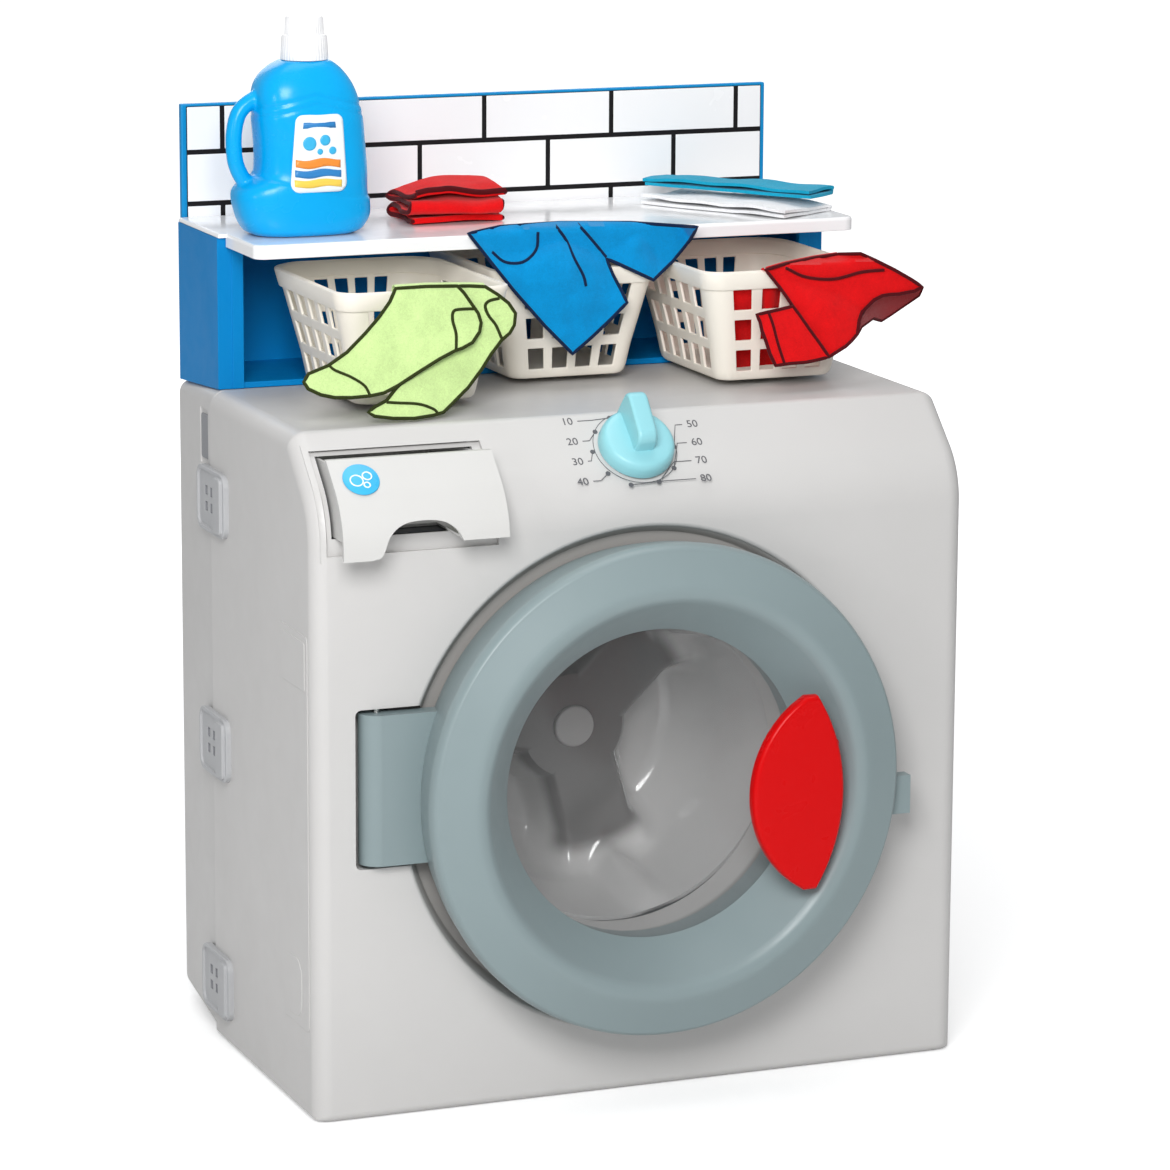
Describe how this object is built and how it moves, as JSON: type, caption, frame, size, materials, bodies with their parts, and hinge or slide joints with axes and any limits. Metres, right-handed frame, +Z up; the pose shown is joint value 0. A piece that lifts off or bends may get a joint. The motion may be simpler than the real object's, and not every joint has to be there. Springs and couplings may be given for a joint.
{
  "type": "toy washing machine",
  "caption": "Child-size front-loading toy washing machine with a hinged round door, spinning drum, sliding soap drawer, dial and a rear shelf of laundry baskets.",
  "frame": {"origin": "centre of the case's footprint on the ground, under the middle of the case", "axes": "+Z up, -Y out of the door, +X to the right of a person who faces the door"},
  "size_m": [0.4708, 0.3719, 0.7008],
  "materials": {
    "case_grey": "fine satin",
    "clip_grey": "satin",
    "ring_blue_grey": "satin",
    "handle_red": "gloss",
    "clear": "clear moulded plastic",
    "drum_grey": "semi-gloss",
    "knob_aqua": "satin",
    "drawer_grey": "satin",
    "dark_grey": "matt",
    "steel": "zinc plated",
    "unit_blue": "satin",
    "white": "gloss",
    "basket_cream": "satin",
    "bottle_blue": "blow-moulded gloss",
    "felt_green": "felt",
    "felt_blue": "felt",
    "felt_red": "felt",
    "towel_teal": "felt",
    "towel_white": "felt"
  },
  "bodies": {
    "case": {"front_shell": "case_grey", "rear_shell": "case_grey", "side_clip_left_1": "clip_grey", "side_clip_left_2": "clip_grey", "side_clip_left_3": "clip_grey", "side_clip_right_1": "clip_grey", "side_clip_right_2": "clip_grey", "side_clip_right_3": "clip_grey", "drum_axle": "steel", "axle_screw": "steel", "axle_washer": "steel", "hinge_pin_upper": "steel", "hinge_pin_lower": "steel", "door_catch": "dark_grey", "rotary_switch": "dark_grey", "click_spring": "steel", "drawer_guide": "dark_grey", "sound_box": "dark_grey", "speaker": "dark_grey", "battery_box": "dark_grey", "battery_1": "steel", "battery_2": "steel", "battery_cover": "case_grey", "battery_cover_screw": "steel", "shelf_unit": "unit_blue", "shelf_top": "white", "backsplash_board": "unit_blue", "tile_panel": "white", "board_screw_left": "steel", "board_screw_right": "steel"},
    "door": {"door_ring": "ring_blue_grey", "door_back_ring": "ring_blue_grey", "door_window": "clear", "door_handle": "handle_red", "handle_screw_lower": "steel", "handle_screw_upper": "steel"},
    "drum": {"drum": "drum_grey", "hub_cap": "drum_grey"},
    "knob": {"knob": "knob_aqua", "knob_shaft": "dark_grey", "knob_retaining_clip": "steel"},
    "drawer": {"drawer_front": "drawer_grey", "drawer_tray": "drawer_grey", "drawer_badge": "bottle_blue"},
    "left_basket": {"basket_left": "basket_cream", "sock_front": "felt_green", "sock_back": "felt_green"},
    "middle_basket": {"basket_middle": "basket_cream", "shorts_cloth": "felt_blue"},
    "right_basket": {"basket_right": "basket_cream", "shirt_cloth": "felt_red"},
    "soap_bottle": {"bottle": "bottle_blue", "bottle_cap": "white", "bottle_label": "white"},
    "red_towel": {"towel_red": "felt_red"},
    "towel_stack": {"towel_white": "towel_white", "towel_teal": "towel_teal"}
  },
  "joints": [
    {"name": "door_hinge", "type": "hinge", "parent": "case", "child": "door", "pos_m": [-0.186, -0.151, 0.222], "axis": [0, 0, -1], "range_deg": [0, 105]},
    {"name": "drum_spin", "type": "hinge", "parent": "case", "child": "drum", "pos_m": [0, -0.027, 0.219], "axis": [0, -1, 0], "continuous": true},
    {"name": "knob_turn", "type": "hinge", "parent": "case", "child": "knob", "pos_m": [0.0012, -0.1308, 0.4293], "axis": [0, -0.682, 0.7314], "continuous": true},
    {"name": "drawer_slide", "type": "slide", "parent": "case", "child": "drawer", "axis": [0, -1, 0], "range_m": [-0.0265, 0.034]},
    {"name": "left_basket_slide", "type": "slide", "parent": "case", "child": "left_basket", "axis": [0, -1, 0], "range_m": [-0.06, 0.03]},
    {"name": "middle_basket_slide", "type": "slide", "parent": "case", "child": "middle_basket", "axis": [0, -1, 0], "range_m": [0, 0.06]},
    {"name": "right_basket_slide", "type": "slide", "parent": "case", "child": "right_basket", "axis": [0, -1, 0], "range_m": [-0.054, 0.03]},
    {"name": "bottle_lift", "type": "slide", "parent": "case", "child": "soap_bottle", "axis": [0, 0, 1], "range_m": [0, 0.12]},
    {"name": "red_towel_lift", "type": "slide", "parent": "case", "child": "red_towel", "axis": [0, 0, 1], "range_m": [0, 0.1]},
    {"name": "towel_stack_lift", "type": "slide", "parent": "case", "child": "towel_stack", "axis": [0, 0, 1], "range_m": [0, 0.1]}
  ]
}
